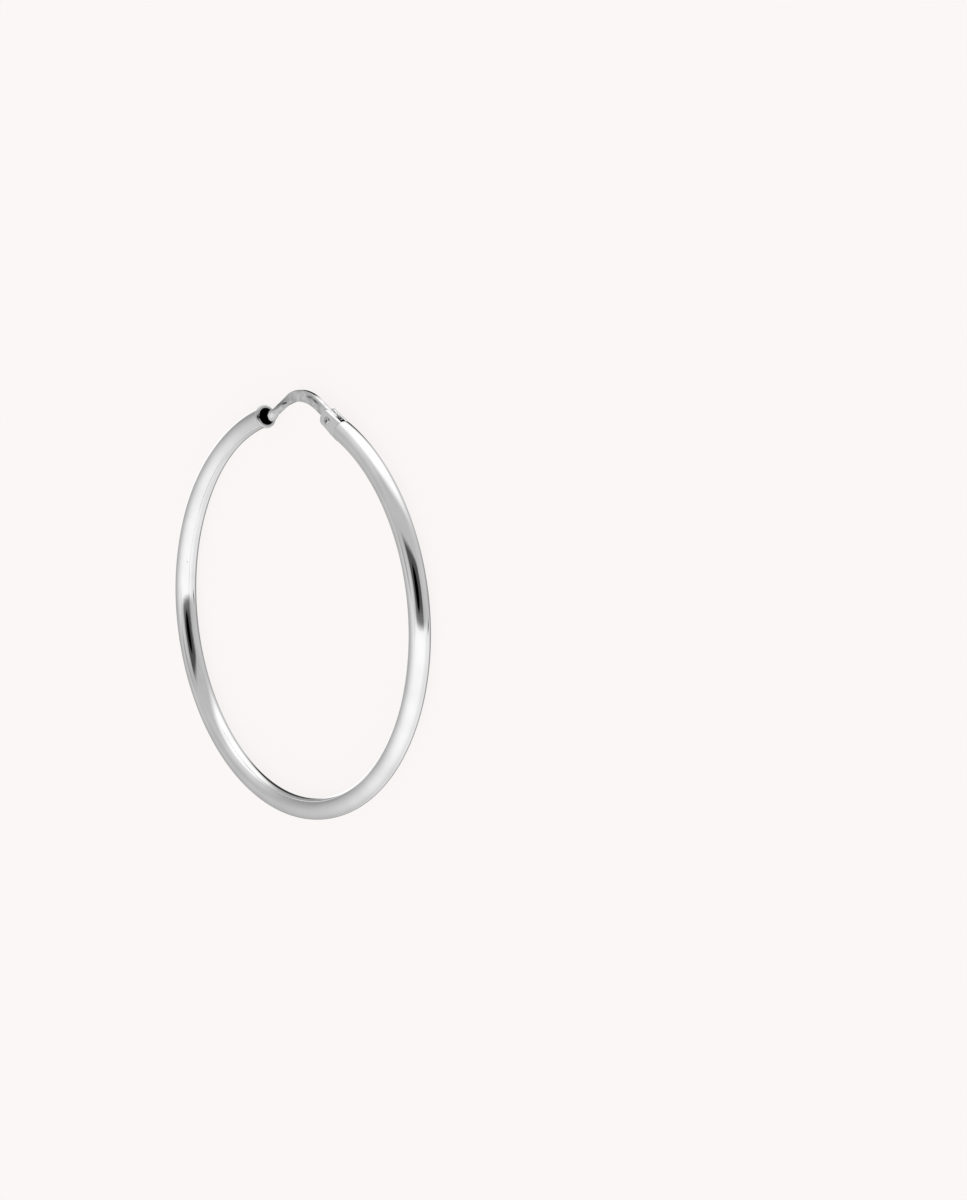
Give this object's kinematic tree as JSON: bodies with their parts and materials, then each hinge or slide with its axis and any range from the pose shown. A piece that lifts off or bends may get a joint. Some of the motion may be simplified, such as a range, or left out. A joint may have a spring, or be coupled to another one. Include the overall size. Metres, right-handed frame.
{
  "type": "hoop earring",
  "caption": "Round tube hoop earring with an open mouth at one end and a hinged, arched ear wire whose tip enters it.",
  "frame": {"origin": "under the middle of the part's box, on the surface that the hoop lies on", "axes": "+Z is the normal of the hoop's plane, +Y points from the hoop's middle to the gap that the ear wire bridges"},
  "size_m": [0.04, 0.0412, 0.0022],
  "materials": {
    "hoop_silver": "polished",
    "wire_silver": "polished",
    "pin_silver": "polished"
  },
  "bodies": {
    "hoop": {"hoop_tube": "hoop_silver", "hinge_pin": "pin_silver"},
    "wire": {"ear_wire": "wire_silver"}
  },
  "joints": [
    {"name": "ear_wire_hinge", "type": "hinge", "parent": "hoop", "child": "wire", "pos_m": [0.00508, 0.01822, 0.00109], "axis": [0, 0, -1], "range_deg": [0, 110]}
  ]
}
